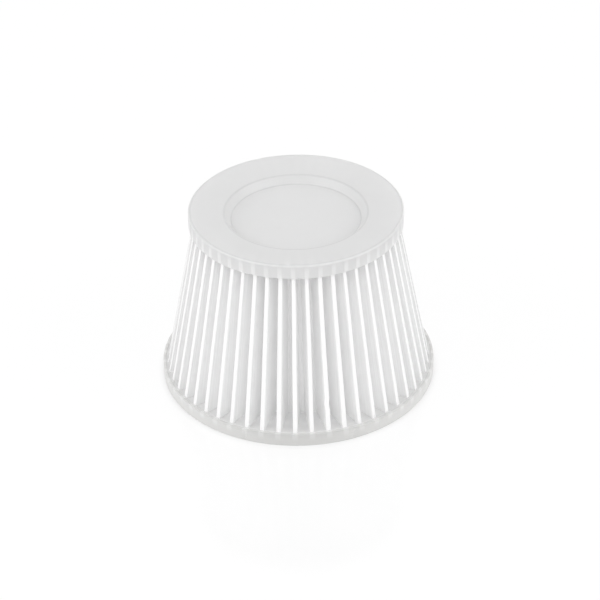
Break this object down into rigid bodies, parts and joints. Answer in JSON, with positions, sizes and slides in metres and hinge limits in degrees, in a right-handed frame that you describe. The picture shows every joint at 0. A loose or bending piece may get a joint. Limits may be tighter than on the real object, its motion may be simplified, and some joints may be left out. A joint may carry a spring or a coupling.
{
  "type": "vacuum hepa filter",
  "caption": "Cone-shaped pleated air filter cartridge with a closed, dished end cap on the narrow end and an open base ring round the pleat feet, for a vacuum cleaner.",
  "frame": {"origin": "centre of the flat face of the base ring that the cartridge stands on", "axes": "+Z along the cartridge's axis towards the closed end cap; -Y is the side that faces the camera"},
  "size_m": [0.095, 0.095, 0.0648],
  "materials": {
    "milky_plastic": "translucent milky moulded plastic, satin, through which the pleats show faintly",
    "filter_media": "white non-woven filter medium, matt, with a fine fibrous grain along the folds"
  },
  "bodies": {
    "root": {"base_ring": "milky_plastic", "end_cap": "milky_plastic", "pleated_media": "filter_media"}
  },
  "joints": []
}
